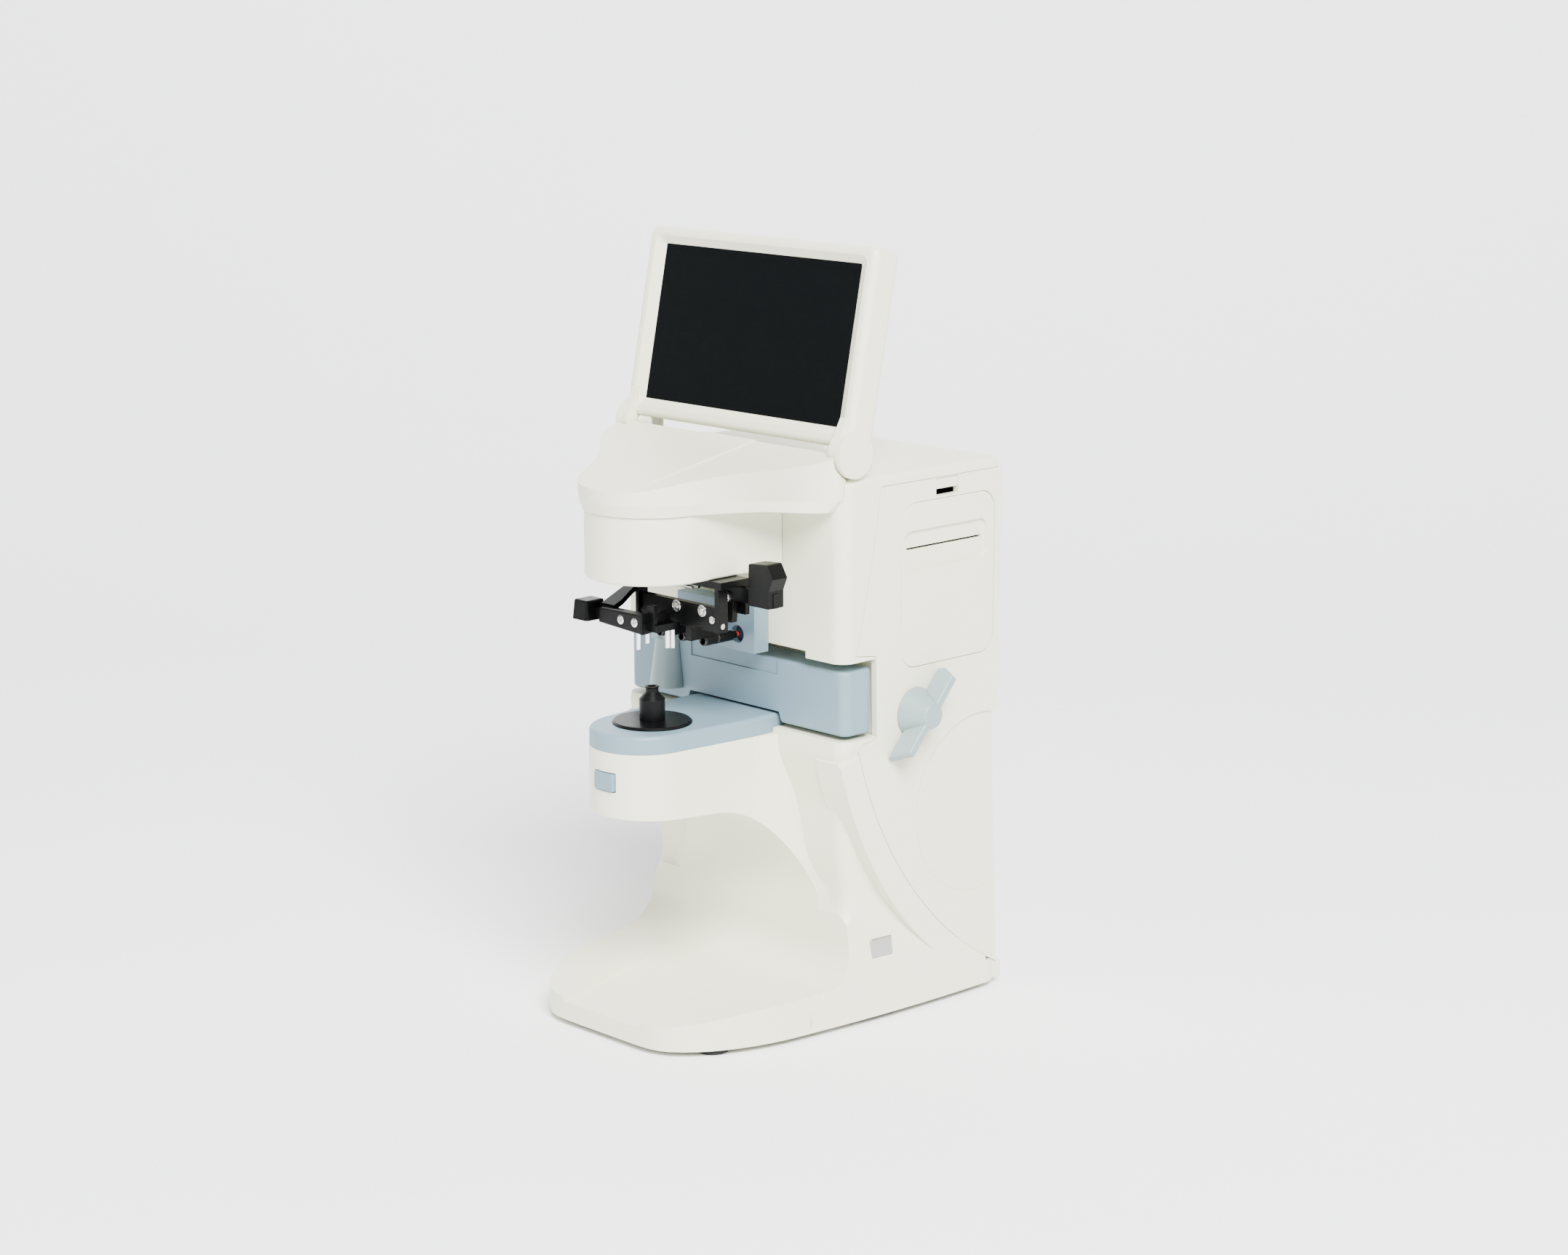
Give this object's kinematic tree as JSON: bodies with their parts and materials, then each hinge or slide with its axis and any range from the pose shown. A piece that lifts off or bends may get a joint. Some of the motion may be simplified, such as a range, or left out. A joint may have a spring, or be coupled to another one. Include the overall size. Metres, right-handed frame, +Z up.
{
  "type": "auto lensmeter",
  "caption": "Desktop auto lensmeter: tilting screen on a hooded head, lens rest on a curved arm, sliding lens table with knob, ink marker pens, side printer and rear inlet.",
  "frame": {"origin": "on the table top, in the plane of symmetry, 110 mm in front of the rear cover's upper face", "axes": "+X to the right of someone who faces the front, +Y from the front to the back, +Z up"},
  "size_m": [0.1933, 0.2297, 0.4333],
  "materials": {
    "body_shell": "satin off-white",
    "blue_trim": "satin pale blue-grey",
    "black_plastic": "fine matt",
    "screen": "matt dark screen",
    "clear_glass": "clear polished",
    "rubber": "matt",
    "chrome": "polished",
    "steel": "brushed",
    "brass": "satin",
    "cast": "cast, satin",
    "grey_plastic": "satin",
    "knob_plastic": "satin grey-green",
    "board": "solder mask",
    "ink_felt": "felt soaked with ink",
    "paper": "thermal paper",
    "badge": "blank satin plate",
    "disc_plastic": "satin dark"
  },
  "bodies": {
    "root": {"rubber_feet": "rubber", "base_plate": "steel", "lower_housing": "body_shell", "stage_cover": "blue_trim", "nose_disc": "blue_trim", "nose_tube": "disc_plastic", "left_side_cover": "body_shell", "right_side_cover": "body_shell", "rear_cover": "body_shell", "rear_screws": "steel", "power_inlet": "black_plastic", "switch_frame": "black_plastic", "data_ports": "steel", "upper_housing": "body_shell", "head_cover": "body_shell", "head_window": "clear_glass", "hood": "body_shell", "hinge_ears": "body_shell", "drive_bushes": "brass", "optical_frame": "cast", "lamp_unit": "black_plastic", "sensor_unit": "black_plastic", "lenses": "clear_glass", "main_board": "board", "power_supply": "steel", "printer_cradle": "black_plastic", "badge_plate": "badge", "ink_box": "blue_trim", "ink_pads": "ink_felt", "marker_bracket": "steel"},
    "monitor": {"monitor_bezel": "body_shell", "monitor_back": "body_shell", "lcd_panel": "screen", "monitor_board": "board", "hinge_pins": "steel"},
    "table": {"lens_table": "blue_trim", "table_rods": "chrome", "table_rack": "brass"},
    "knob": {"table_knob": "knob_plastic", "knob_shaft": "steel", "drive_pinion": "brass"},
    "nose_slider": {"pd_slider": "grey_plastic"},
    "presser": {"presser_carriage": "black_plastic", "presser_pins": "steel", "presser_pad": "grey_plastic", "presser_screws": "chrome"},
    "pens": {"pen_carrier": "steel", "marker_shaft": "steel", "marker_pens": "chrome", "pen_tips": "black_plastic", "marker_screws": "steel"},
    "lever": {"marker_lever": "black_plastic", "lever_screw": "steel"},
    "button": {"read_button": "blue_trim"},
    "door": {"printer_door": "body_shell", "door_pins": "steel"},
    "latch": {"door_latch": "black_plastic"},
    "rocker": {"power_rocker": "black_plastic"},
    "roll": {"paper_roll": "paper"},
    "platen": {"platen_roller": "rubber"}
  },
  "joints": [
    {"name": "monitor_tilt", "type": "hinge", "parent": "root", "child": "monitor", "pos_m": [0, -0.0072, 0.324], "axis": [1, 0, 0], "range_deg": [-25, 11]},
    {"name": "table_slide", "type": "slide", "parent": "root", "child": "table", "axis": [0, 1, 0], "range_m": [-0.035, 0]},
    {"name": "knob_turn", "type": "hinge", "parent": "root", "child": "knob", "pos_m": [0.097, 0.041, 0.1745], "axis": [1, 0, 0], "range_deg": [-2, 128]},
    {"name": "nose_slide", "type": "slide", "parent": "table", "child": "nose_slider", "axis": [1, 0, 0], "range_m": [-0.012, 0.106]},
    {"name": "presser_slide", "type": "slide", "parent": "root", "child": "presser", "axis": [0, 0, 1], "range_m": [-0.017, 0]},
    {"name": "lever_turn", "type": "hinge", "parent": "root", "child": "lever", "pos_m": [0.035, -0.05, 0.2452], "axis": [0, 1, 0], "range_deg": [0, 25]},
    {"name": "pen_swing", "type": "hinge", "parent": "root", "child": "pens", "pos_m": [0, -0.06175, 0.23125], "axis": [-1, 0, 0], "range_deg": [-1, 91]},
    {"name": "button_press", "type": "slide", "parent": "root", "child": "button", "axis": [0, 1, 0], "range_m": [0, 0.0015], "stiffness_N_per_m": 800, "springref_m": -0.0005},
    {"name": "door_swing", "type": "hinge", "parent": "root", "child": "door", "pos_m": [0.0868, 0.0675, 0.2125], "axis": [0, 1, 0], "range_deg": [0, 80]},
    {"name": "latch_slide", "type": "slide", "parent": "root", "child": "latch", "axis": [0, 0, -1], "range_m": [0, 0.003], "stiffness_N_per_m": 300, "springref_m": -0.001},
    {"name": "rocker_tilt", "type": "hinge", "parent": "root", "child": "rocker", "pos_m": [-0.014, 0.103, 0.046], "axis": [1, 0, 0], "range_deg": [-8, 8]},
    {"name": "roll_turn", "type": "hinge", "parent": "root", "child": "roll", "pos_m": [0.054, 0.0675, 0.23], "axis": [0, 1, 0], "continuous": true},
    {"name": "platen_turn", "type": "hinge", "parent": "root", "child": "platen", "pos_m": [0.069, 0.0675, 0.266], "axis": [0, 1, 0], "continuous": true}
  ],
  "couplings": [
    {"joint": "knob_turn", "follows": "table_slide", "rad_per_m": -62.5},
    {"joint": "pen_swing", "follows": "lever_turn", "ratio": 3.6}
  ]
}
